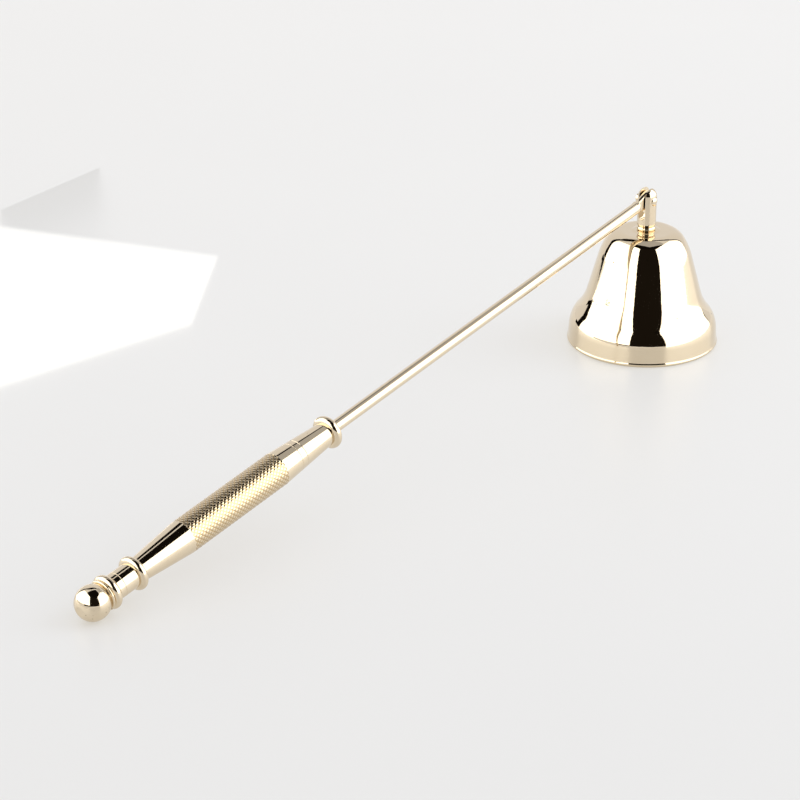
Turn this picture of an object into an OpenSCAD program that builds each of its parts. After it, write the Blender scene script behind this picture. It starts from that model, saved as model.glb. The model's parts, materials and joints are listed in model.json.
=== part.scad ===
// Candle snuffer: a bell on a hinged post, at the end of a thin rod with a turned handle.
// Origin at the centre of the bell's rim, on the surface it rests on. +Z up, the handle runs toward -X,
// the hinge pin lies along Y. The ball at the tail rests on the same surface as the rim.

/* [Bell] */
// Outside diameter at the lip
bell_d = 40; // [34:0.5:52]
// Height from the rim to the flat crown
bell_h = 31.1; // [26:0.1:44]
// Wall thickness
bell_wall = 1.2; // [0.8:0.1:1.8]
// Height of the straight lip band
lip_h = 4.6; // [3:0.1:6]
// Radius that rounds the rim's outer edge
lip_round = 0.6; // [0.2:0.1:0.8]
// Lean of the lip band from upright
lip_lean = 6; // [2:0.5:8]
// Convex radius over the lip band
roll_r = 8.1; // [6:0.1:10]
// Steepest lean of the flare
flare_lean = 40; // [30:1:45]
// Concave radius of the flare
flare_r = 13; // [8:0.5:16]
// Lean of the straight waist
waist_lean = 15.5; // [10:0.5:18]
// Convex radius of the shoulder
shoulder_r = 18; // [10:0.5:22]
// Lean where the shoulder meets the crown's corner
shoulder_lean = 33; // [25:1:40]
// Radius of the crown's corner
crown_r = 4.6; // [3:0.1:5.5]

/* [Hinge post] */
// Diameter of the post and of its foot bead
post_d = 5; // [4.5:0.1:6]
// Height of the foot bead
foot_h = 1.3; // [1:0.05:1.6]
// Depth of the groove over the foot bead
foot_groove = 0.25; // [0.1:0.05:0.4]
// Height of the pin above the crown
pin_rise = 8.3; // [7.5:0.1:10]
// Height of the dome's centre above the pin
dome_rise = 1; // [0.8:0.1:1.6]
// Width of the slot for the rod's eye
slot_w = 2; // [1.6:0.1:2.4]
// Depth of the slot below the pin
slot_drop = 5; // [4.5:0.1:5.2]

/* [Hinge pin] */
// Diameter of the pin
pin_d = 2; // [1.6:0.1:2.4]
// Diameter of its peened heads
pin_head_d = 2.4; // [2.2:0.1:3]
// Height of its peened heads
pin_head_h = 0.55; // [0.3:0.05:0.8]
// Depth of the flats that seat the heads
pin_seat = 0.2; // [0.1:0.05:0.3]

/* [Bell screw] */
// Diameter of the screw
screw_d = 2.5; // [2:0.1:3]
// Diameter of its pan head
screw_head_d = 4.7; // [4:0.1:6]
// Height of its pan head
screw_head_h = 1.8; // [1.4:0.1:2.4]
// Solid metal between the screw's hole and the slot's floor
slot_web = 0.9; // [0.6:0.1:1.2]
// Outside diameter of the plain washer
washer_d = 6; // [5:0.1:7]
// Thickness of the plain washer
washer_t = 0.5; // [0.3:0.05:0.8]
// Outside diameter of the spring washer
lock_d = 5.1; // [4.6:0.1:6]
// Thickness of the spring washer
lock_t = 0.65; // [0.4:0.05:0.8]

/* [Rod] */
// Distance from the hinge pin to the centre of the ball
reach = 206; // [160:1:250]
// Diameter of the rod
rod_d = 3; // [2.4:0.1:3.6]
// Radius of the flattened eye around the pin
eye_r = 2.4; // [2:0.1:2.8]
// Gap between the post and the shoulder of the rod's full round
shoulder_gap = 1.8; // [1.5:0.1:3]
// Length of rod screwed into the grip
rod_bite = 20; // [10:1:30]

/* [Handle] */
// Diameter of the knurled grip
grip_d = 8.3; // [7.8:0.1:10]
// Length of the knurled grip
knurl_len = 31; // [20:1:50]
// Length of the taper from the knurl to the front collar
front_taper_len = 17; // [12:0.5:22]
// Diameter of the front taper at the collar
front_taper_d = 5.9; // [5.6:0.1:6.6]
// Length of the front taper that is part of the ferrule
ferrule_len = 11.5; // [8:0.5:14]
// Length of the taper from the rear bead to the knurl
rear_taper_len = 14.6; // [10:0.2:20]
// Diameter of the rear taper at the bead
rear_taper_d = 5.7; // [5.6:0.1:6.6]
// Diameter of the beads and the front collar
bead_d = 8.25; // [7.6:0.05:9.9]
// Diameter of the neck
neck_d = 6.1; // [5.6:0.1:6.8]
// Length of the neck between the double bead and the rear bead
neck_len = 5.6; // [4:0.2:8]
// Diameter of the ferrule's spigot inside the grip
spigot_d = 4.6; // [4:0.1:4.9]
// Length of the ferrule's spigot
spigot_len = 5; // [3:0.5:8]

/* [Finial] */
// Diameter of the ball
ball_d = 8.3; // [7.6:0.1:10]
// Distance from the ball's centre to its flat tip
ball_tip = 3.95; // [3.6:0.05:4.05]
// Radius at the groove behind the ball
groove_r = 3.1; // [2.8:0.1:3.3]
// Radius of the thin ring's rounding
ring_round = 0.35; // [0.2:0.05:0.5]
// Length of neck that is part of the finial
finial_neck_len = 1.6; // [1:0.1:3]
// Diameter of the stud that joins finial and grip
stud_d = 3; // [2.4:0.1:3.4]
// Length of the stud in each piece
stud_bite = 6; // [4:0.5:6.5]

/* [Fits] */
// Radial clearance of the pin in the rod's eye
pin_gap = 0.05; // [0.02:0.01:0.08]
// Clearance on each side of the rod's eye in the slot
eye_gap = 0.1; // [0.06:0.01:0.15]
// Radial clearance of threads and spigots
seat_gap = 0.02; // [0.01:0.01:0.04]
// Radial clearance of the screw's holes and of the ferrule's bore
pass_gap = 0.1; // [0.05:0.05:0.2]

/* [Hidden] */
$fn = 96;
gold = [0.87, 0.80, 0.64];
steel = [0.70, 0.70, 0.70];
chamfer = 0.3;
step_w = 0.3;
step_r = 0.25;

// The handle's pitch, set by the ball resting on the surface that the rim rests on
pin_z = bell_h + pin_rise;
tilt = asin((pin_z - ball_d / 2) / reach);

// Stations along the handle, from the ball's centre toward the bell
bead_round = (bead_d - neck_d) / 2;
collar_round = (bead_d - front_taper_d) / 2;
s_ring = sqrt(pow(ball_d / 2, 2) - pow(groove_r, 2));
s_bead_pair = s_ring + 2 * ring_round;
s_step = s_bead_pair + 2 * bead_round;
s_neck = s_step + step_w;
s_rear_joint = s_neck + finial_neck_len;
s_rear_bead = s_neck + neck_len;
s_rear_taper = s_rear_bead + 2 * bead_round;
s_knurl = s_rear_taper + rear_taper_len;
s_front_taper = s_knurl + knurl_len;
s_collar = s_front_taper + front_taper_len;
s_front_joint = s_collar - ferrule_len;
s_front = s_collar + 2 * collar_round;
joint_r = (front_taper_d + (grip_d - front_taper_d) * ferrule_len / front_taper_len) / 2;

// Distance from the pin to the rod's full round
eye_len = post_d / 2 + shoulder_gap;

// Length of thread in the post, which stops under the slot's floor
screw_bite = pin_rise - slot_drop - slot_web - chamfer;

// Heights inside the bell, from the crown's inner face down to the screw's head
crown_in = bell_h - bell_wall;
washer_z = crown_in - washer_t;
lock_z = washer_z - lock_t;

function last(p) = p[len(p) - 1];

// Points of an arc about c, from angle a0 to a1
function arc(c, r, a0, a1, n = 16) =
    [for (i = [0:n]) let (a = a0 + (a1 - a0) * i / n) c + r * [cos(a), sin(a)]];

// A wall that leans a0 from upright at p bends to lean a1; a negative radius bends it outward
function bend(p, a0, a1, r, n = 8) =
    [for (i = [1:n]) let (a = a0 + (a1 - a0) * i / n)
        p + r * [cos(a) - cos(a0), sin(a) - sin(a0)]];

// Each point of outline p moved by w to its left
function inward(p, w) =
    [for (i = [0:len(p) - 1])
        let (t = p[min(i + 1, len(p) - 1)] - p[max(i - 1, 0)])
        p[i] + w / norm(t) * [-t.y, t.x]];

// A half-round bead that stands on radius r from station s
function bead(r, s, round) = arc([r, s + round], round, -90, 90);

// Outline of the bell's outer wall, from the rim's rounding to the edge of the flat crown
lip = [bell_d / 2 - (lip_h - lip_round) * tan(lip_lean), lip_h];
roll = bend(lip, lip_lean, flare_lean, roll_r);
flare = bend(last(roll), flare_lean, waist_lean, -flare_r);
waist_top = bell_h - crown_r * (1 - sin(shoulder_lean))
    - shoulder_r * (sin(shoulder_lean) - sin(waist_lean));
waist = last(flare) + (waist_top - last(flare).y) * [-tan(waist_lean), 1];
shoulder = bend(waist, waist_lean, shoulder_lean, shoulder_r);
crown = bend(last(shoulder), shoulder_lean, 90, crown_r);
bell_outer = concat([[bell_d / 2, lip_round], lip], roll, flare, [waist], shoulder, crown);
bell_inner = inward(bell_outer, bell_wall);

module on_handle() {
    translate([-reach * cos(tilt), 0, ball_d / 2])
        rotate([0, 90 - tilt, 0])
            children();
}

module turned(outline) {
    rotate_extrude()
        polygon(outline);
}

// A threaded end is a plain cylinder with chamfered edges
module stud_body(d, len) {
    turned([[0, 0], [d / 2 - chamfer, 0], [d / 2, chamfer], [d / 2, len - chamfer],
        [d / 2 - chamfer, len], [0, len]]);
}

module bell() {
    color(gold)
    difference() {
        turned(concat(
            arc([bell_d / 2 - lip_round, lip_round], lip_round, -90, 0, 6),
            bell_outer,
            [[0, bell_h], [0, crown_in]],
            [for (i = [len(bell_inner) - 1:-1:0]) bell_inner[i]],
            [[bell_inner[0].x, 0]]));
        translate([0, 0, crown_in - 1])
            cylinder(d = screw_d + 2 * pass_gap, h = bell_wall + 2);
    }
}

module hinge_post() {
    post_r = post_d / 2;
    foot_r = foot_h / 2;
    dome_z = pin_rise + dome_rise;
    slot_z = pin_rise - slot_drop;
    color(gold)
    difference() {
        translate([0, 0, bell_h])
            turned(concat(
                [[0, 0]],
                arc([post_r - foot_r, foot_r], foot_r, -90, 80, 12),
                [[post_r - foot_groove, foot_h], [post_r, foot_h + 2 * foot_groove]],
                arc([0, dome_z], post_r, 0, 90, 20)));
        translate([-post_d, 0, bell_h + slot_z + slot_w / 2])
            rotate([90, 0, 90])
                linear_extrude(2 * post_d)
                    polygon(concat(arc([0, 0], slot_w / 2, 180, 360, 12),
                        [[slot_w / 2, 2 * post_d + slot_drop], [-slot_w / 2, 2 * post_d + slot_drop]]));
        translate([0, -post_d, pin_z])
            rotate([-90, 0, 0])
                cylinder(d = pin_d, h = 2 * post_d);
        for (side = [0, 180])
            rotate([0, 0, side])
                translate([0, post_r - pin_seat, pin_z])
                    rotate([-90, 0, 0])
                        cylinder(d = pin_head_d + 2 * seat_gap, h = post_d);
        translate([0, 0, bell_h - 1])
            cylinder(d = screw_d + 2 * seat_gap, h = 1 + screw_bite + chamfer);
    }
}

module hinge_pin() {
    seat_y = post_d / 2 - pin_seat;
    // radius of the sphere that gives a cap of the head's width and height
    cap_r = (pow(pin_head_d / 2, 2) + pow(pin_head_h, 2)) / (2 * pin_head_h);
    cap_a = asin(pin_head_d / 2 / cap_r);
    head = arc([0, seat_y + pin_head_h - cap_r], cap_r, 90 - cap_a, 90, 8);
    tail = [for (i = [len(head) - 1:-1:0]) [head[i].x, -head[i].y]];
    color(gold)
    translate([0, 0, pin_z])
        rotate([-90, 0, 0])
            turned(concat(tail, [[pin_d / 2, -seat_y], [pin_d / 2, seat_y]], head));
}

module bell_screw() {
    head_r = screw_head_d / 2;
    edge_r = screw_head_h * 0.55;
    recess_w = screw_head_d / 7;
    recess_len = screw_head_d * 0.55;
    recess_h = screw_head_h * 0.55;
    screw_top = bell_h + screw_bite;
    color(steel)
    difference() {
        translate([0, 0, lock_z - screw_head_h])
            turned(concat(
                [[0, 0]],
                arc([head_r - edge_r, edge_r], edge_r, -90, 0, 8),
                [[head_r, screw_head_h], [screw_d / 2, screw_head_h],
                    [screw_d / 2, screw_top - lock_z + screw_head_h - chamfer],
                    [screw_d / 2 - chamfer, screw_top - lock_z + screw_head_h],
                    [0, screw_top - lock_z + screw_head_h]]));
        for (a = [0, 90])
            rotate([0, 0, a])
                translate([-recess_len / 2, -recess_w / 2, lock_z - screw_head_h - 1])
                    cube([recess_len, recess_w, recess_h + 1]);
    }
}

module ring(d, hole_d, t, z) {
    translate([0, 0, z])
        difference() {
            cylinder(d = d, h = t);
            translate([0, 0, -1])
                cylinder(d = hole_d, h = t + 2);
        }
}

module crown_washer() {
    color(steel)
    ring(washer_d, screw_d + 2 * pass_gap, washer_t, washer_z);
}

module lock_washer() {
    split_w = 0.4;
    split_lean = 25;
    color(steel)
    difference() {
        ring(lock_d, screw_d + 2 * pass_gap, lock_t, lock_z);
        translate([lock_d / 2, 0, lock_z + lock_t / 2])
            rotate([split_lean, 0, 0])
                cube([lock_d, split_w, 4 * lock_t], center = true);
    }
}

module rod() {
    eye_t = slot_w - 2 * eye_gap;
    // angle of the point where the eye's straight flank leaves its round
    corner = [rod_d / 2, eye_len];
    flank_a = atan2(corner.x, corner.y) + acos(eye_r / norm(corner));
    flank = eye_r * [sin(flank_a), cos(flank_a)];
    rod_start = s_front_joint - rod_bite;
    color(gold)
    on_handle()
    difference() {
        union() {
            translate([0, 0, rod_start])
                stud_body(rod_d, reach - eye_len - rod_start);
            translate([0, 0, reach])
                rotate([90, 0, 0])
                    translate([0, 0, -eye_t / 2])
                        linear_extrude(eye_t)
                            union() {
                                circle(r = eye_r);
                                polygon([[0, 0], [flank.x, -flank.y],
                                    [corner.x, -corner.y], [corner.x - chamfer, -corner.y - 1],
                                    [chamfer - corner.x, -corner.y - 1], [-corner.x, -corner.y],
                                    [-flank.x, -flank.y]]);
                            }
        }
        translate([0, -post_d, reach])
            rotate([-90, 0, 0])
                cylinder(d = pin_d + 2 * pin_gap, h = 2 * post_d);
    }
}

module front_ferrule() {
    spigot_s = s_front_joint - spigot_len;
    color(gold)
    on_handle()
    difference() {
        turned(concat(
            [[0, spigot_s], [spigot_d / 2, spigot_s], [spigot_d / 2, s_front_joint],
                [joint_r, s_front_joint]],
            bead(front_taper_d / 2, s_collar, collar_round),
            [[0, s_front]]));
        translate([0, 0, spigot_s - 1])
            cylinder(d = rod_d + 2 * pass_gap, h = s_front - spigot_s + 2);
    }
}

module grip() {
    counterbore_s = s_front_joint - spigot_len - chamfer;
    color(gold)
    on_handle()
    difference() {
        turned(concat(
            [[0, s_rear_joint], [neck_d / 2, s_rear_joint]],
            bead(neck_d / 2, s_rear_bead, bead_round),
            [[rear_taper_d / 2, s_rear_taper], [grip_d / 2, s_knurl],
                [grip_d / 2, s_front_taper], [joint_r, s_front_joint], [0, s_front_joint]]));
        translate([0, 0, counterbore_s])
            cylinder(d = spigot_d + 2 * seat_gap, h = spigot_len + 1);
        translate([0, 0, s_front_joint - rod_bite])
            cylinder(d = rod_d + 2 * seat_gap, h = rod_bite);
        translate([0, 0, s_rear_joint - 1])
            cylinder(d = stud_d + 2 * seat_gap, h = 1 + stud_bite);
    }
}

module finial() {
    ball_r = ball_d / 2;
    tip_a = -asin(ball_tip / ball_r);
    groove_a = acos(groove_r / ball_r);
    color(gold)
    on_handle()
    difference() {
        turned(concat(
            [[0, -ball_tip]],
            arc([0, 0], ball_r, tip_a, groove_a, 24),
            bead(groove_r + step_r, s_ring, ring_round),
            bead(neck_d / 2, s_bead_pair, bead_round),
            [[neck_d / 2 + step_r, s_step], [neck_d / 2, s_neck],
                [neck_d / 2, s_rear_joint], [0, s_rear_joint]]));
        translate([0, 0, s_rear_joint - stud_bite])
            cylinder(d = stud_d + 2 * seat_gap, h = stud_bite + 1);
    }
}

module finial_stud() {
    color(steel)
    on_handle()
        translate([0, 0, s_rear_joint - stud_bite])
            stud_body(stud_d, 2 * stud_bite);
}

bell();
hinge_post();
hinge_pin();
bell_screw();
lock_washer();
crown_washer();
rod();
front_ferrule();
grip();
finial();
finial_stud();
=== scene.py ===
import json
import math
import bmesh
import bpy
from mathutils import Matrix, Vector


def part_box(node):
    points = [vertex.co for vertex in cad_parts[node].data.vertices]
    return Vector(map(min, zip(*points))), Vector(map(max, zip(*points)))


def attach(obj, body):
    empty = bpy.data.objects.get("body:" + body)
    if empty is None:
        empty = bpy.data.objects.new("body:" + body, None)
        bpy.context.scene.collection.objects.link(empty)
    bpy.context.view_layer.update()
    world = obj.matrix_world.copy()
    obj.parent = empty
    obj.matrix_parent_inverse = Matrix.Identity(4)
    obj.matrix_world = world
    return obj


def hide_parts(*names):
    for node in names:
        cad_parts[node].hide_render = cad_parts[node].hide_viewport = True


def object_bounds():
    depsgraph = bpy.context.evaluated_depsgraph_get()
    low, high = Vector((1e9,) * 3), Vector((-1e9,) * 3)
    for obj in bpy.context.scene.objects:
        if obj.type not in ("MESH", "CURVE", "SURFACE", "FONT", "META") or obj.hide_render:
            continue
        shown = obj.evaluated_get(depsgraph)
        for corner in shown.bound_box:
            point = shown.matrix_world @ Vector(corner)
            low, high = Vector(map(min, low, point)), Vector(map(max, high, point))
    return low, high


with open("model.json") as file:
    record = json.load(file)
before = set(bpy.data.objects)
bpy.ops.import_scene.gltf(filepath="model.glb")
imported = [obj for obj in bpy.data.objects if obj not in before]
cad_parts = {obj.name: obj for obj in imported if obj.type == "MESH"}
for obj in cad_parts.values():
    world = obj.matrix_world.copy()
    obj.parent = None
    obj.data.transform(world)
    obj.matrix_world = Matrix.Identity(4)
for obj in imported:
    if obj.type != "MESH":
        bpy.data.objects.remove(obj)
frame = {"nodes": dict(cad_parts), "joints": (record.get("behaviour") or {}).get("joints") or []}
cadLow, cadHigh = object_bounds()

mm = 0.001
scene = bpy.context.scene
scene.view_settings.view_transform = "Standard"

# Where things are: the hinge pin from the joint, the ball and its radius from the finial's box
pinAt = Vector(frame["joints"][0]["pos_m"])
finialLow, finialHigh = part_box("finial")
ballRadius = (finialHigh.y - finialLow.y) / 2
ballTip = 3.95 * mm  # from the ball's centre to its flat tip
tipEdge = math.sqrt(ballRadius ** 2 - ballTip ** 2)
tilt = math.atan2(pinAt.z - ballRadius, -finialLow.x - ballTip)
for attempt in range(8):  # the flat tip leans with the handle, so the ball's centre settles in a few rounds
    ballX = finialLow.x + ballTip * math.cos(tilt) + tipEdge * math.sin(tilt)
    tilt = math.atan2(pinAt.z - ballRadius, -ballX)
ballAt = Vector((ballX, 0, ballRadius))
reach = (pinAt - ballAt).length / mm
handleTurn = Matrix.Rotation(math.pi / 2 - tilt, 4, "Y")
onHandle = Matrix.Translation(ballAt) @ handleTurn  # local +Z runs from the ball to the pin
onRim = Matrix.Identity(4)
print(f"ball at {ballAt.x / mm:.2f} mm, handle leans {math.degrees(tilt):.3f} degrees, reach {reach:.2f} mm")


# Camera, floor and light

def addCamera():
    look = {
        "aim": (-15.0, -6.8, 0.0),  # mm from the middle of the object's box
        "turn": -49.843,
        "dip": 24.365,
        "away": 635.9,
        "lens": 121.59,
    }
    data = bpy.data.cameras.new("camera")
    data.lens = look["lens"]
    data.clip_start = 0.01
    camera = bpy.data.objects.new("camera", data)
    scene.collection.objects.link(camera)
    turn, dip = math.radians(look["turn"]), math.radians(look["dip"])
    forward = Vector((-math.sin(turn) * math.cos(dip), math.cos(turn) * math.cos(dip), -math.sin(dip)))
    aim = (cadLow + cadHigh) / 2 + Vector(look["aim"]) * mm
    camera.location = aim - forward * look["away"] * mm
    camera.rotation_euler = (math.pi / 2 - dip, 0, turn)
    scene.camera = camera


def linear(hexCode):
    # sRGB hex to the linear colour that the shaders take
    parts = [int(hexCode[i:i + 2], 16) / 255 for i in (0, 2, 4)]
    return [c / 12.92 if c <= 0.04045 else ((c + 0.055) / 1.055) ** 2.4 for c in parts] + [1]


def addNode(tree, kind, inputs=None, **settings):
    made = tree.nodes.new("ShaderNode" + kind)
    for name, value in settings.items():
        setattr(made, name, value)
    for name, value in (inputs or {}).items():
        if isinstance(value, bpy.types.NodeSocket):
            tree.links.new(value, made.inputs[name])
        else:
            made.inputs[name].default_value = value
    return made


def newMaterial(name):
    made = bpy.data.materials.new(name)
    made.use_nodes = True
    made.node_tree.nodes.clear()
    return made, made.node_tree


def addFloor():
    sheet = {"size": 6.0, "drop": 0.02, "colour": "868E99", "pale": "8A929C", "mottle": 9.0, "rough": 0.4,
             "glow": 0.51, "glowColour": "FFF7EA"}
    bm = bmesh.new()
    bmesh.ops.create_grid(bm, x_segments=1, y_segments=1, size=sheet["size"] / 2)
    bmesh.ops.translate(bm, verts=bm.verts, vec=(0, 0, -sheet["drop"] * mm))
    mesh = bpy.data.meshes.new("floor")
    bm.to_mesh(mesh)
    bm.free()
    floor = bpy.data.objects.new("floor", mesh)
    scene.collection.objects.link(floor)
    # satin white acrylic lit from below, a hair warmer and cooler from place to place
    made, tree = newMaterial("satinWhiteAcrylic")
    spot = addNode(tree, "TexCoord").outputs["Object"]
    mottle = addNode(tree, "TexNoise", {"Vector": spot, "Scale": sheet["mottle"], "Detail": 2.0})
    tone = addNode(tree, "MixRGB", {"Fac": mottle.outputs["Fac"], "Color1": linear(sheet["colour"]),
                                    "Color2": linear(sheet["pale"])})
    acrylic = addNode(tree, "BsdfPrincipled", {"Base Color": tone.outputs["Color"],
                                               "Roughness": sheet["rough"],
                                               "Emission Color": linear(sheet["glowColour"]),
                                               "Emission Strength": sheet["glow"]})
    addNode(tree, "OutputMaterial", {"Surface": acrylic.outputs["BSDF"]})
    mesh.materials.append(made)


def addCard(name, corners, colour, glow):
    # a reflector through four corners, seen only in reflections
    bm = bmesh.new()
    bmesh.ops.contextual_create(bm, geom=[bm.verts.new(corner) for corner in corners])
    bmesh.ops.triangulate(bm, faces=bm.faces)
    placeCard(name, bm, colour, glow)


def addArch(name, stops, away, colour, glow):
    # a dark band that follows pairs of (azimuth, elevation) seen from the bell, outer edge and inner edge
    bm = bmesh.new()
    for i, stop in enumerate(stops):
        spots = []
        for azimuth, elevation in stop:
            a, e = math.radians(azimuth), math.radians(elevation)
            spots.append(away * Vector((math.cos(a) * math.cos(e), math.sin(a) * math.cos(e), math.sin(e))))
        if i == 0:
            edge = bm.edges.new([bm.verts.new(spot) for spot in spots])
            continue
        outer, inner = edge.verts
        grown = bmesh.ops.extrude_edge_only(bm, edges=[edge])["geom"]
        edge = next(item for item in grown if isinstance(item, bmesh.types.BMEdge)
                    and outer not in item.verts and inner not in item.verts)
        for vert, spot in zip(sorted(edge.verts, key=lambda v: (v.co - outer.co).length), spots):
            vert.co = spot
    bmesh.ops.triangulate(bm, faces=bm.faces)
    placeCard(name, bm, colour, glow)


def placeCard(name, bm, colour, glow):
    mesh = bpy.data.meshes.new(name)
    bm.to_mesh(mesh)
    bm.free()
    card = bpy.data.objects.new(name, mesh)
    scene.collection.objects.link(card)
    made, tree = newMaterial(name)
    light = addNode(tree, "Emission", {"Color": linear(colour), "Strength": glow})
    addNode(tree, "OutputMaterial", {"Surface": light.outputs["Emission"]})
    mesh.materials.append(made)
    card.visible_camera = False
    card.visible_diffuse = False
    card.visible_shadow = False
    card.visible_transmission = False
    card.visible_volume_scatter = False


def addLamp(name, lamp):
    # a square soft lamp that leaves no bright patch of its own in the metal
    data = bpy.data.lights.new(name, "AREA")
    data.size = lamp["size"]
    data.energy = lamp["watts"]
    made = bpy.data.objects.new(name, data)
    made.location = lamp["place"]
    if lamp["aimed"]:
        made.rotation_euler = Vector(lamp["place"]).to_track_quat("Z", "Y").to_euler()
    made.visible_glossy = False
    made.visible_camera = False
    scene.collection.objects.link(made)


def addLight():
    tent = {"colour": "F4F3F4", "glow": 1.0}
    sky = bpy.data.worlds.new("softTent")
    sky.use_nodes = True
    scene.world = sky
    backdrop = sky.node_tree.nodes["Background"]
    backdrop.inputs["Color"].default_value = linear(tent["colour"])
    backdrop.inputs["Strength"].default_value = tent["glow"]
    addLamp("softOverhead", {"size": 3.0, "place": (0, 0.2, 2.2), "watts": 5.0, "aimed": False})
    addLamp("softSide", {"size": 0.9, "place": (0.75, -0.75, 0.75), "watts": 7.0, "aimed": True})


def addCards():
    # white cards left and right of the camera, the dark gap between them, and the dark edges round the back
    white = {"colour": "FFFFFA", "glow": 2.6}
    black = {"colour": "16120E", "glow": 0.6}
    addCard("leftPanel", ((-0.427, -0.128, 0.06), (-0.237, 0.747, 0.0), (-0.30, 1.40, 1.48),
                          (-1.0, -0.26, 1.5)), **white)
    addCard("leftPanelFoot", ((-0.237, 0.747, 0.0), (-0.17, 0.80, 0.0), (-0.20, 1.35, 1.20),
                              (-0.28, 1.40, 1.44)), **white)
    addCard("leftGlow", ((-0.29, 0.85, 0.001), (-0.50, 0.16, 0.001), (-0.07, 0.10, 0.001),
                         (-0.028, 0.13, 0.001)), "FFFBF2", white["glow"])
    addCard("leftFill", ((-0.332, 0.31, 0.0), (-0.237, 0.747, 0.0), (-0.237, 0.747, 0.01),
                         (-0.332, 0.31, 0.032)), **white)
    addCard("darkFoot", ((-0.044, 0.205, 0.0), (0.002, 0.21, 0.0), (0.002, 0.21, 0.019),
                         (-0.042, 0.205, 0.018)), **black)
    addCard("rightPanel", ((-0.24, -0.72, 0.0), (0.95, -0.23, 0.0), (0.95, -0.20, 1.12),
                           (-0.133, -0.40, 0.51)), "FFFEFA", white["glow"])
    addCard("darkGap", ((-1.15, 0.10, 0.08), (-0.2, -1.6, 0.08), (-0.2, -1.6, 2.6),
                        (-1.15, 0.10, 2.6)), "2A241E", 0.5)
    addArch("darkEdge", (((102, -7), (92, -7)), ((101.5, 12), (91.5, 12)), ((98, 27), (88, 25)),
                         ((93, 40), (85, 37)), ((90, 58), (80, 47)), ((70, 68), (60, 51)),
                         ((40, 64), (40, 51)), ((25, 60), (25, 51)), ((10, 55), (12, 48)),
                         ((-2, 50), (1, 45)), ((-9, 38), (-5, 37)), ((-12, 22), (-9.5, 21)),
                         ((-14, 6), (-12, 6))), 1.45, **black)
    addCard("darkOverhead", ((-1.3, -1.3, 1.5), (0.6, -1.3, 1.5), (0.6, 0.2, 1.5),
                             (-1.3, 0.9, 1.5)), "1A1612", black["glow"])
    addCard("greyOverhead", ((-0.045, -0.075, 0.25), (0.10, -0.10, 0.25), (0.12, 0.10, 0.25),
                             (-0.05, 0.06, 0.25)), "C0C0C2", 1.0)


addCamera()
addFloor()
addLight()
addCards()
print("camera, floor and light are in")


# Shaping

def arc(centre, radius, fromAngle, toAngle, steps):
    spread = [math.radians(fromAngle + (toAngle - fromAngle) * i / steps) for i in range(steps + 1)]
    return [(centre[0] + radius * math.cos(a), centre[1] + radius * math.sin(a)) for a in spread]


def bend(points, fromLean, toLean, radius, steps):
    # goes on from the last point: the wall's lean changes along an arc, outward where radius is negative
    r, z = points[-1]
    for i in range(1, steps + 1):
        a0, a = math.radians(fromLean), math.radians(fromLean + (toLean - fromLean) * i / steps)
        points.append((r + radius * (math.cos(a) - math.cos(a0)), z + radius * (math.sin(a) - math.sin(a0))))


def lathe(outline, steps, place, closed=True, soft=None):
    # spins an outline of (radius, station) in mm round local Z; soft gives points that get a rounded corner
    bm = bmesh.new()
    line = [bm.verts.new((r * mm, 0, z * mm)) for r, z in outline]
    for a, b in zip(line, line[1:]):
        bm.edges.new((a, b))
    if closed:
        bm.edges.new((line[-1], line[0]))
    for i, width in (soft or {}).items():
        bmesh.ops.bevel(bm, geom=[line[i]], offset=width * mm, offset_type="OFFSET", segments=4, profile=0.5,
                        affect="VERTICES", material=-1)
    # a point close to each end of a long edge keeps the shading tight beside corners
    tight = {"long": 0.8 * mm, "close": 0.1 * mm}
    for edge in [e for e in bm.edges if e.calc_length() > tight["long"]]:
        first, last = edge.verts
        inner = bmesh.utils.edge_split(edge, first, tight["close"] / edge.calc_length())
        rest = edge if last in edge.verts else inner[0]
        bmesh.utils.edge_split(rest, last, tight["close"] / rest.calc_length())
    bmesh.ops.spin(bm, geom=bm.verts[:] + bm.edges[:], cent=(0, 0, 0), axis=(0, 0, 1), dvec=(0, 0, 0),
                   angle=math.tau, steps=steps, use_merge=True)
    bmesh.ops.remove_doubles(bm, verts=bm.verts, dist=2e-7)
    bmesh.ops.recalc_face_normals(bm, faces=bm.faces)
    bmesh.ops.transform(bm, matrix=place, verts=bm.verts)
    return bm


def toPiece(bm, name, body, material, replaces, crease=32):
    for face in bm.faces:
        face.smooth = True
    for edge in bm.edges:
        if len(edge.link_faces) == 2 and edge.calc_face_angle(0) > math.radians(crease):
            edge.smooth = False
    mesh = bpy.data.meshes.new(name)
    bm.to_mesh(mesh)
    bm.free()
    piece = bpy.data.objects.new(name, mesh)
    scene.collection.objects.link(piece)
    mesh.materials.append(material)
    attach(piece, body)
    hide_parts(*replaces)
    print(f"{name}: {len(mesh.polygons)} faces")
    return piece


def cutAway(bm, cutters):
    # takes the cutters' volumes out of a shape with an exact Boolean, and gives the new shape
    shapes = []
    for i, part in enumerate([bm] + cutters):
        mesh = bpy.data.meshes.new(f"cut{i}")
        part.to_mesh(mesh)
        part.free()
        shape = bpy.data.objects.new(f"cut{i}", mesh)
        scene.collection.objects.link(shape)
        shapes.append(shape)
    for cutter in shapes[1:]:
        cut = shapes[0].modifiers.new(cutter.name, "BOOLEAN")
        cut.operation = "DIFFERENCE"
        cut.solver = "EXACT"
        cut.object = cutter
    bpy.context.view_layer.update()
    result = bmesh.new()
    result.from_object(shapes[0], bpy.context.evaluated_depsgraph_get())
    for shape in shapes:
        mesh = shape.data
        bpy.data.objects.remove(shape)
        bpy.data.meshes.remove(mesh)
    return result


# Finishes

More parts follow.
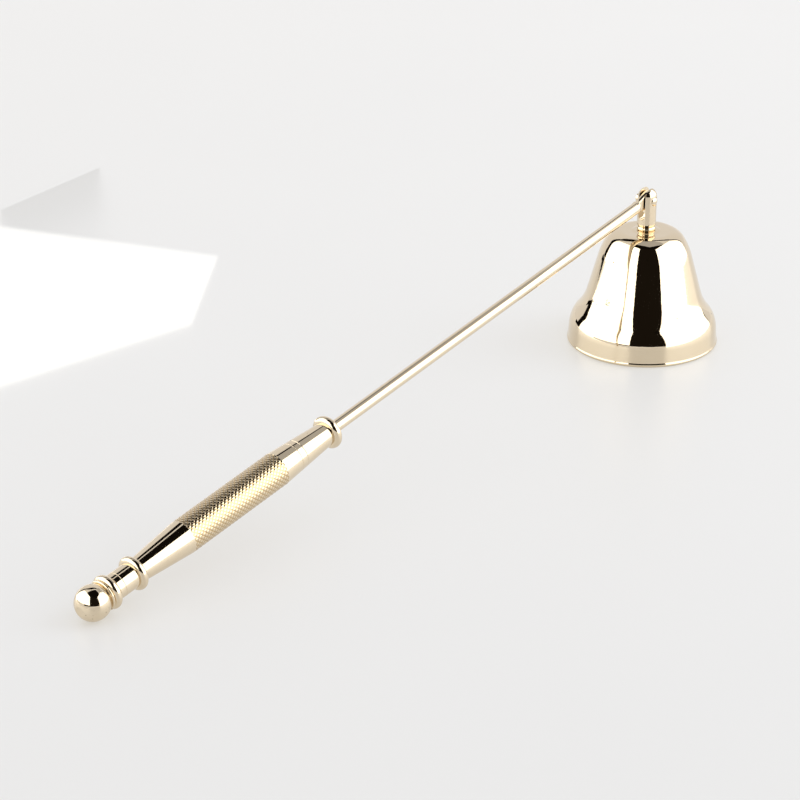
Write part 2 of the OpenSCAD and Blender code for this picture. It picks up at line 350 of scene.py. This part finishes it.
def platedMetal(name, finish, place):
    # Polished brass under a pale gold flash plate: a clear warm mirror, softened by
    # polishing lines that follow the turning, with faint cloudy wear and a few tiny pits.
    made, tree = newMaterial(name)
    spot = addNode(tree, "TexCoord").outputs["Object"]
    placed = {"Vector": spot, "Location": place.to_translation(), "Rotation": place.to_euler()}
    turned = addNode(tree, "Mapping", placed, vector_type="TEXTURE").outputs["Vector"]
    along = finish["lines"]
    lineSpot = addNode(tree, "Mapping", {"Vector": turned, "Scale": [1 / (size * mm) for size in along]})
    lines = addNode(tree, "TexNoise", {"Vector": lineSpot.outputs["Vector"], "Scale": 1.0, "Detail": 3.0,
                                       "Roughness": 0.6})
    cloud = addNode(tree, "TexNoise", {"Vector": turned, "Scale": 1 / (finish["cloud"] * mm), "Detail": 4.0,
                                       "Roughness": 0.55})
    wave = addNode(tree, "TexNoise", {"Vector": turned, "Scale": 1 / (finish["wave"] * mm),
                                      "Detail": finish["waveDetail"], "Roughness": 0.5})
    cells = addNode(tree, "TexVoronoi", {"Vector": turned, "Scale": 1 / (finish["pitGap"] * mm)})
    picked = addNode(tree, "SeparateColor", {"Color": cells.outputs["Color"]})
    chosen = addNode(tree, "Math", {0: picked.outputs["Red"], 1: finish["pitShare"]}, operation="LESS_THAN")
    near = addNode(tree, "MapRange", {"Value": cells.outputs["Distance"], "From Min": finish["pitSize"] / 3,
                                      "From Max": finish["pitSize"], "To Min": 1.0, "To Max": 0.0})
    pit = addNode(tree, "Math", {0: near.outputs["Result"], 1: chosen.outputs["Value"]}, operation="MULTIPLY")
    if "pitsBelow" in finish:  # only where the part rests on the table
        height = addNode(tree, "SeparateXYZ", {"Vector": spot}).outputs["Z"]
        fadeFrom, fadeTo = finish["pitsBelow"]
        low = addNode(tree, "MapRange", {"Value": height, "From Min": fadeFrom * mm,
                                         "From Max": fadeTo * mm, "To Min": 1.0, "To Max": 0.0})
        pit = addNode(tree, "Math", {0: pit.outputs["Value"], 1: low.outputs["Result"]}, operation="MULTIPLY")
    rough = addNode(tree, "MapRange", {"Value": cloud.outputs["Fac"], "From Min": 0.3, "From Max": 0.75,
                                       "To Min": finish["rough"][0], "To Max": finish["rough"][1]})
    streak = addNode(tree, "Math", {0: lines.outputs["Fac"], 1: finish["streak"], 2: rough.outputs["Result"]},
                     operation="MULTIPLY_ADD")
    tone = addNode(tree, "MixRGB", {"Fac": cloud.outputs["Fac"], "Color1": linear(finish["colour"]),
                                    "Color2": linear(finish["worn"])})
    dark = addNode(tree, "MixRGB", {"Fac": pit.outputs["Value"], "Color1": tone.outputs["Color"],
                                    "Color2": linear(finish["pitColour"])})
    lineBump = addNode(tree, "Bump", {"Strength": 1.0, "Distance": finish["lineDepth"] * mm,
                                      "Height": lines.outputs["Fac"]})
    waveBump = addNode(tree, "Bump", {"Strength": 1.0, "Distance": finish["waveDepth"] * mm,
                                      "Height": wave.outputs["Fac"], "Normal": lineBump.outputs["Normal"]})
    pitBump = addNode(tree, "Bump", {"Strength": 1.0, "Distance": finish["pitDepth"] * mm,
                                     "Height": pit.outputs["Value"],
                                     "Normal": waveBump.outputs["Normal"]}, invert=True)
    colour, roughness = dark.outputs["Color"], streak.outputs["Value"]
    if "grooves" in finish:  # tarnish and polish left in the bottoms of the cuts
        depth = addNode(tree, "Attribute", attribute_name=finish["grooves"]).outputs["Fac"]
        colour = addNode(tree, "MixRGB", {"Fac": depth, "Color1": colour,
                                          "Color2": linear(finish["grooveColour"])}).outputs["Color"]
        roughness = addNode(tree, "Math", {0: depth, 1: finish["grooveRough"], 2: roughness},
                            operation="MULTIPLY_ADD").outputs["Value"]
    metal = addNode(tree, "BsdfPrincipled", {"Base Color": colour, "Metallic": 1.0, "Roughness": roughness,
                                             "Normal": pitBump.outputs["Normal"]})
    addNode(tree, "OutputMaterial", {"Surface": metal.outputs["BSDF"]})
    return made


# Sizes in mm, pit sizes as a share of their spacing, except the roughness values and shares
goldTone = {"colour": "E4D5BC", "worn": "DCCBAF", "pitColour": "6B5638", "pitDepth": 0.02, "pitSize": 0.09}
# Spun sheet brass, mirror polished and flash plated: long ripples in the reflections from the spinning tool
spunBrass = platedMetal("spunPolishedBrass", {
    **goldTone, "lines": (6, 6, 0.16), "lineDepth": 0.00015, "cloud": 9, "wave": 1.0, "waveDepth": 0.006,
    "waveDetail": 2.0, "rough": (0.02, 0.045), "streak": 0.012, "pitGap": 3.0, "pitShare": 0.22,
    "grooves": "satin", "grooveColour": "CDB992", "grooveRough": 0.25}, onRim)
# Turned bar brass, polished on the lathe: rings of fine lines round every part
turnedFinish = {
    **goldTone, "lines": (3, 3, 0.1), "lineDepth": 0.0002, "cloud": 6, "wave": 1.2, "waveDepth": 0.003,
    "waveDetail": 1.0, "rough": (0.025, 0.055), "streak": 0.02, "pitGap": 1.8, "pitShare": 0.3}
turnedBrass = platedMetal("turnedPolishedBrass", turnedFinish, onHandle)
postBrass = platedMetal("turnedPolishedBrassPost", turnedFinish, onRim)
# The same, with the small pits that wear leaves low on the ball
ballBrass = platedMetal("turnedPolishedBrassBall", {
    **turnedFinish, "cloud": 4, "rough": (0.03, 0.07), "pitSize": 0.24, "pitGap": 0.9, "pitShare": 0.6,
    "pitsBelow": (2.2, 4.6)}, onHandle)
# Cold drawn wire, polished along its length: faint scratches run with the rod
drawnBrass = platedMetal("drawnPolishedBrass", {
    **goldTone, "lines": (0.12, 0.12, 9), "lineDepth": 0.0002, "cloud": 8, "wave": 3, "waveDepth": 0.001,
    "waveDetail": 2.0, "rough": (0.02, 0.05), "streak": 0.015, "pitGap": 2.4, "pitShare": 0.2}, onHandle)
# Diamond knurl rolled into bar brass: bright crests, darker bronze in the cuts
knurledBrass = platedMetal("knurledBrass", {
    **turnedFinish, "rough": (0.04, 0.09), "pitShare": 0.2, "grooves": "cut", "grooveColour": "B89C6C",
    "grooveRough": 0.12}, onHandle)


def zincSteel():
    # Zinc plated steel: cool grey, a little cloudy, with the crystal sparkle of the plating
    zinc = {"cloud": 1.2, "crystal": 0.15, "colour": "A9ABAD", "pale": "C3C4C2", "rough": (0.22, 0.38),
            "sparkle": 0.4, "depth": 0.004}
    made, tree = newMaterial("zincPlatedSteel")
    spot = addNode(tree, "TexCoord").outputs["Object"]
    cloud = addNode(tree, "TexNoise", {"Vector": spot, "Scale": 1 / (zinc["cloud"] * mm), "Detail": 4.0})
    grain = addNode(tree, "TexVoronoi", {"Vector": spot, "Scale": 1 / (zinc["crystal"] * mm)})
    tone = addNode(tree, "MixRGB", {"Fac": cloud.outputs["Fac"], "Color1": linear(zinc["colour"]),
                                    "Color2": linear(zinc["pale"])})
    rough = addNode(tree, "MapRange", {"Value": cloud.outputs["Fac"], "To Min": zinc["rough"][0],
                                       "To Max": zinc["rough"][1]})
    bump = addNode(tree, "Bump", {"Strength": zinc["sparkle"], "Distance": zinc["depth"] * mm,
                                  "Height": grain.outputs["Distance"]})
    metal = addNode(tree, "BsdfPrincipled", {"Base Color": tone.outputs["Color"], "Metallic": 1.0,
                                             "Roughness": rough.outputs["Result"],
                                             "Normal": bump.outputs["Normal"]})
    addNode(tree, "OutputMaterial", {"Surface": metal.outputs["BSDF"]})
    return made


steel = zincSteel()
print("finishes are made")


# Bell

def makeBell():
    bell = {"rim": 20.0, "height": 31.2, "wall": 1.2, "lip": 4.6, "lipRound": 0.6, "beadProud": 0.17,
            "dish": 0.2, "bossFoot": 4.1, "bossTop": 2.9, "hole": 1.35, "steps": 256}
    leans = {"lip": 6, "flare": 40, "waist": 15.5, "shoulder": 33}
    radii = {"roll": 8.1, "flare": 13, "shoulder": 18, "crown": 4.6}
    outer = [(bell["rim"], bell["lipRound"])]
    outer.append((bell["rim"] - (bell["lip"] - bell["lipRound"]) * math.tan(math.radians(leans["lip"])),
                  bell["lip"]))
    bend(outer, leans["lip"], leans["flare"], radii["roll"], 14)
    bend(outer, leans["flare"], leans["waist"], -radii["flare"], 12)
    sinOf = {name: math.sin(math.radians(lean)) for name, lean in leans.items()}
    waistTop = (bell["height"] - bell["dish"] - radii["crown"] * (1 - sinOf["shoulder"])
                - radii["shoulder"] * (sinOf["shoulder"] - sinOf["waist"]))
    r, z = outer[-1]
    for share in (0.25, 0.5, 0.75, 1):
        outer.append((r - share * (waistTop - z) * math.tan(math.radians(leans["waist"])),
                      z + share * (waistTop - z)))
    bend(outer, leans["waist"], leans["shoulder"], radii["shoulder"], 10)
    bend(outer, leans["shoulder"], 90, radii["crown"], 16)
    inner = []
    for i, (r, z) in enumerate(outer):
        a, b = outer[max(i - 1, 0)], outer[min(i + 1, len(outer) - 1)]
        run, rise = b[0] - a[0], b[1] - a[1]
        size = math.hypot(run, rise)
        inner.append((r - bell["wall"] * rise / size, z + bell["wall"] * run / size))
    rim = arc((bell["rim"] - bell["lipRound"], bell["lipRound"]), bell["lipRound"], -90, 35, 10)
    rim.append((bell["rim"] - bell["beadProud"], 2 * bell["lipRound"]))
    crownIn = bell["height"] - bell["wall"]
    boss = []  # the crown swells up a little to the post's seat
    for i in range(1, 13):
        swell = (1 - math.cos(math.pi * i / 12)) / 2
        boss.append((bell["bossFoot"] + (bell["bossTop"] - bell["bossFoot"]) * i / 12,
                     bell["height"] - bell["dish"] * (1 - swell)))
    outline = (rim + outer[1:] + boss + [(bell["hole"], bell["height"]), (bell["hole"], crownIn)]
               + inner[::-1] + [(inner[0][0], 0)])
    bm = lathe(outline, bell["steps"], onRim)
    satin = bm.verts.layers.float.new("satin")  # the inside is left as it was spun, not buffed
    for vert in bm.verts:
        outward = Vector((vert.co.x, vert.co.y, 0))
        vert[satin] = 1.0 if vert.normal.dot(outward.normalized()) < -0.2 or vert.normal.z < -0.6 else 0.0
    return toPiece(bm, "bellShell", "bell_head", spunBrass, ["bell"])


# Hinge post and pin

def makePost():
    post = {"radius": 2.5, "foot": 1.3, "groove": 0.25, "pinRise": 8.3, "domeRise": 1.0, "slot": 2.0,
            "slotDrop": 5.0, "slotTall": 14.0, "slotLong": 12.0, "pinSeat": 2.3, "pinHead": 1.22,
            "seatTop": 4, "edge": 0.12, "steps": 128}
    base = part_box("hinge_post")[0].z / mm
    half = post["foot"] / 2
    domeAt = base + post["pinRise"] + post["domeRise"]
    outline = ([(0, base)] + arc((post["radius"] - half, base + half), half, -90, 78, 14)
               + [(post["radius"] - post["groove"], base + post["foot"]),
                  (post["radius"], base + post["foot"] + 2 * post["groove"])]
               + arc((0, domeAt), post["radius"], 0, 90, 24))
    bm = lathe(outline, post["steps"], onRim, closed=False)
    slot = bmesh.new()
    floorAt = base + post["pinRise"] - post["slotDrop"]
    bmesh.ops.create_cube(slot, size=1.0)
    bmesh.ops.scale(slot, verts=slot.verts,
                    vec=(post["slotLong"] * mm, post["slot"] * mm, post["slotTall"] * mm))
    bmesh.ops.translate(slot, verts=slot.verts, vec=(0, 0, (floorAt + post["slotTall"] / 2) * mm))
    foot = [e for e in slot.edges if all(v.co.z < (floorAt + 1) * mm for v in e.verts)
            and abs(e.verts[0].co.y - e.verts[1].co.y) < 1e-6]
    bmesh.ops.bevel(slot, geom=foot, offset=post["slot"] / 2 * 0.999 * mm, offset_type="OFFSET", segments=10,
                    profile=0.5, affect="EDGES", material=-1)
    seats = []
    for side in (1, -1):  # flats that the pin's heads sit in
        across = Matrix.Translation(pinAt) @ Matrix.Rotation(-side * math.pi / 2, 4, "X")
        seat = [(0, post["pinSeat"]), (post["pinHead"], post["pinSeat"]),
                (post["pinHead"], post["seatTop"]), (0, post["seatTop"])]
        seats.append(lathe(seat, 48, across, closed=False))
    bm = cutAway(bm, [slot] + seats)
    piece = toPiece(bm, "hingePost", "bell_head", postBrass, ["hinge_post"])
    edge = piece.modifiers.new("brokenEdges", "BEVEL")
    edge.width = post["edge"] * mm
    edge.segments = 2
    edge.limit_method = "ANGLE"
    edge.angle_limit = math.radians(40)
    return piece


def makePin():
    pin = {"radius": 1.0, "seat": 2.3, "head": 1.2, "headHeight": 0.55, "proud": 0.6, "steps": 48}
    capRadius = (pin["head"] ** 2 + pin["headHeight"] ** 2) / (2 * pin["headHeight"])
    capAngle = math.degrees(math.asin(pin["head"] / capRadius))
    head = arc((0, pin["seat"] + pin["headHeight"] - capRadius), capRadius, 90 - capAngle, 90, 8)
    tail = [(r, -z) for r, z in head[::-1]]  # the near head lies low, the far one stands proud of the post
    head = [(pin["head"], pin["seat"])] + [(r, z + pin["proud"]) for r, z in head]
    outline = tail + [(pin["radius"], -pin["seat"]), (pin["radius"], pin["seat"])] + head
    across = Matrix.Translation(pinAt) @ Matrix.Rotation(-math.pi / 2, 4, "X")
    bm = lathe(outline, pin["steps"], across, closed=False)
    return toPiece(bm, "hingePin", "bell_head", postBrass, ["hinge_pin"])


# Rod with its flattened eye

def makeRod():
    rod = {"radius": 1.5, "start": 44.76, "chamfer": 0.3, "eye": 2.4, "thick": 0.72, "shoulder": 4.3,
           "blend": 1.3, "hole": 1.05, "drill": 3, "points": 48}
    flankReach = math.hypot(rod["radius"], rod["shoulder"])
    flankAngle = math.atan2(rod["radius"], rod["shoulder"]) + math.acos(rod["eye"] / flankReach)
    flankWide, flankDrop = rod["eye"] * math.sin(flankAngle), rod["eye"] * math.cos(flankAngle)
    # each station: distance from the pin, half width, half thickness, squareness of the section
    stations = [(away, rod["radius"], rod["radius"], 2) for away in
                (reach - rod["start"] - rod["chamfer"], 120, 90, 60, 30, 10)]
    for i in range(10):  # the forged shoulder, from round to flat
        share = i / 9
        drop = 1 - math.sqrt(1 - share ** 2)
        stations.append((rod["shoulder"] + rod["blend"] * (1 - share), rod["radius"],
                         rod["radius"] - (rod["radius"] - rod["thick"]) * drop, 2 + 3 * share ** 2))
    for i in range(1, 5):  # the tongue's straight flanks
        share = i / 4
        stations.append((rod["shoulder"] - share * (rod["shoulder"] - flankDrop),
                         rod["radius"] + share * (flankWide - rod["radius"]), rod["thick"], 5 + 7 * share))
    fromAngle = math.acos(flankDrop / rod["eye"])
    for i in range(1, 25):  # the eye's round
        angle = fromAngle + (math.pi - fromAngle) * i / 24
        stations.append((rod["eye"] * math.cos(angle), rod["eye"] * math.sin(angle), rod["thick"], 12))
    bm = bmesh.new()
    turn = bm.verts.layers.float.new("turn")  # each point keeps its place round the section
    bmesh.ops.create_circle(bm, cap_ends=True, radius=(rod["radius"] - rod["chamfer"]) * mm,
                            segments=rod["points"])
    for vert in bm.verts:
        vert[turn] = math.atan2(vert.co.y, vert.co.x)
        vert.co.z = rod["start"] * mm
    ring = bm.edges[:]
    for away, wide, thick, square in stations:
        grown = bmesh.ops.extrude_edge_only(bm, edges=ring)["geom"]
        ends = {item for item in grown if isinstance(item, bmesh.types.BMVert)}
        ring = [item for item in grown if isinstance(item, bmesh.types.BMEdge) and set(item.verts) <= ends]
        for vert in ends:
            c, s = math.cos(vert[turn]), math.sin(vert[turn])
            vert.co.x = wide * mm * math.copysign(abs(c) ** (2 / square), c)
            vert.co.y = thick * mm * math.copysign(abs(s) ** (2 / square), s)
            vert.co.z = (reach - away) * mm
    bmesh.ops.remove_doubles(bm, verts=bm.verts, dist=2e-7)
    bmesh.ops.recalc_face_normals(bm, faces=bm.faces)
    bmesh.ops.transform(bm, matrix=onHandle, verts=bm.verts)
    across = Matrix.Translation(pinAt) @ Matrix.Rotation(-math.pi / 2, 4, "X")
    drill = lathe([(0, -rod["drill"]), (rod["hole"], -rod["drill"]), (rod["hole"], rod["drill"]),
                   (0, rod["drill"])], rod["points"], across, closed=False)
    bm = cutAway(bm, [drill])
    return toPiece(bm, "hingedRod", "handle", drawnBrass, ["rod"])


# Handle: front ferrule, knurled grip, finial. Stations in mm from the ball's centre toward the bell

def makeFerrule():
    ferrule = {"back": 59.76, "joint": 64.76, "jointRadius": 3.762, "edge": 0.09, "score": 66.6,
               "scoreDepth": 0.05, "scoreHalf": 0.08, "collar": 76.26, "neck": 2.95, "bead": 1.175,
               "bore": 1.6, "spigot": 2.3, "steps": 128}
    slope = (ferrule["neck"] - ferrule["jointRadius"]) / (ferrule["collar"] - ferrule["joint"])
    scoreRadius = ferrule["jointRadius"] + slope * (ferrule["score"] - ferrule["joint"])
    outline = [(ferrule["bore"], ferrule["back"]), (ferrule["spigot"], ferrule["back"]),
               (ferrule["spigot"], ferrule["joint"]), (ferrule["jointRadius"], ferrule["joint"]),
               (scoreRadius - slope * ferrule["scoreHalf"], ferrule["score"] - ferrule["scoreHalf"]),
               (scoreRadius - ferrule["scoreDepth"], ferrule["score"]),
               (scoreRadius + slope * ferrule["scoreHalf"], ferrule["score"] + ferrule["scoreHalf"])]
    outline += arc((ferrule["neck"], ferrule["collar"] + ferrule["bead"]), ferrule["bead"], -90, 90, 24)
    outline.append((ferrule["bore"], outline[-1][1]))
    bm = lathe(outline, ferrule["steps"], onHandle, soft={3: ferrule["edge"]})
    return toPiece(bm, "frontFerrule", "handle", turnedBrass, ["front_ferrule"])


def makeGrip():
    grip = {"rearJoint": 7.51, "neck": 3.05, "bead": 1.075, "rearBead": 11.51, "rearTaper": 13.66,
            "rearTaperRadius": 2.85, "knurl": 28.26, "knurlEnd": 59.26, "crest": 4.15, "frontJoint": 64.76,
            "jointRadius": 3.762, "studHole": 1.52, "studDepth": 6.0, "rodDepth": 20.0, "spigotHole": 2.32,
            "spigotDepth": 5.3, "edge": 0.09}
    knurl = {"around": 22, "rows": 26, "fine": 6, "depth": 0.09, "wide": 0.26}
    length = grip["knurlEnd"] - grip["knurl"]
    lip = 0.03  # plain ring at each end, where the cuts stop short
    outline = [(0, grip["rearJoint"] + grip["studDepth"]),
               (grip["studHole"], grip["rearJoint"] + grip["studDepth"]),
               (grip["studHole"], grip["rearJoint"]), (grip["neck"], grip["rearJoint"])]
    outline += arc((grip["neck"], grip["rearBead"] + grip["bead"]), grip["bead"], -90, 90, 24)
    outline += [(grip["rearTaperRadius"], grip["rearTaper"]), (grip["crest"], grip["knurl"] - lip)]
    rings = knurl["rows"] * knurl["fine"]
    outline += [(grip["crest"], grip["knurl"] + length * i / rings) for i in range(rings + 1)]
    outline += [(grip["crest"], grip["knurlEnd"] + lip), (grip["jointRadius"], grip["frontJoint"])]
    joint = len(outline) - 1
    outline += [(grip["spigotHole"], grip["frontJoint"]),
                (grip["spigotHole"], grip["frontJoint"] - grip["spigotDepth"]),
                (grip["studHole"], grip["frontJoint"] - grip["spigotDepth"]),
                (grip["studHole"], grip["frontJoint"] - grip["rodDepth"]),
                (0, grip["frontJoint"] - grip["rodDepth"])]
    bm = lathe(outline, knurl["around"] * knurl["fine"], Matrix.Identity(4), closed=False,
               soft={joint: grip["edge"], 3: grip["edge"]})
    low, high = grip["knurl"] * mm - 1e-6, grip["knurlEnd"] * mm + 1e-6
    inside = grip["crest"] * mm - 1e-5

    def isKnurled(vert):
        return low < vert.co.z < high and math.hypot(vert.co.x, vert.co.y) > inside

    bmesh.ops.poke(bm, faces=[face for face in bm.faces if all(isKnurled(v) for v in face.verts)])
    cut = bm.verts.layers.float.new("cut")
    for vert in bm.verts:
        radius = math.hypot(vert.co.x, vert.co.y)
        if low < vert.co.z < high and radius > inside - 2e-5:
            around = knurl["around"] * math.atan2(vert.co.y, vert.co.x) / math.tau
            row = knurl["rows"] * (vert.co.z / mm - grip["knurl"]) / length
            depth = max(max(0, 1 - abs(turn - round(turn)) / knurl["wide"])
                        for turn in (around + row, around - row))
            vert[cut] = depth
            scale = (grip["crest"] - knurl["depth"] * depth) * mm / radius
            vert.co.x *= scale
            vert.co.y *= scale
    bmesh.ops.transform(bm, matrix=onHandle, verts=bm.verts)
    return toPiece(bm, "knurledGrip", "handle", knurledBrass, ["grip"], crease=60)


def makeFinial():
    finial = {"ball": ballRadius / mm, "tip": ballTip / mm, "groove": 3.1, "ring": 0.35, "ringSeat": 3.35,
              "neck": 3.05, "bead": 1.075, "step": 0.25, "stepLength": 0.3, "joint": 7.51, "studHole": 1.52,
              "studDepth": 6.0, "tipEdge": 0.2, "edge": 0.09, "steps": 160}
    tipAngle = -math.degrees(math.asin(finial["tip"] / finial["ball"]))
    grooveAngle = math.degrees(math.acos(finial["groove"] / finial["ball"]))
    outline = [(0, -finial["tip"])] + arc((0, 0), finial["ball"], tipAngle, grooveAngle, 48)
    station = outline[-1][1]
    outline += arc((finial["ringSeat"], station + finial["ring"]), finial["ring"], -90, 90, 12)
    station += 2 * finial["ring"]
    outline += arc((finial["neck"], station + finial["bead"]), finial["bead"], -90, 90, 24)
    station += 2 * finial["bead"]
    outline += [(finial["neck"] + finial["step"], station), (finial["neck"], station + finial["stepLength"]),
                (finial["neck"], finial["joint"]), (finial["studHole"], finial["joint"]),
                (finial["studHole"], finial["joint"] - finial["studDepth"]),
                (0, finial["joint"] - finial["studDepth"])]
    bm = lathe(outline, finial["steps"], onHandle, closed=False,
               soft={1: finial["tipEdge"], len(outline) - 4: finial["edge"]})
    return toPiece(bm, "ballFinial", "handle", ballBrass, ["finial"])


makeBell()
makePost()
makePin()
makeRod()
makeFerrule()
makeGrip()
makeFinial()
for name in ("bell_screw", "lock_washer", "crown_washer", "finial_stud"):
    frame["nodes"][name].material_slots[0].material = steel
print("pieces are made")
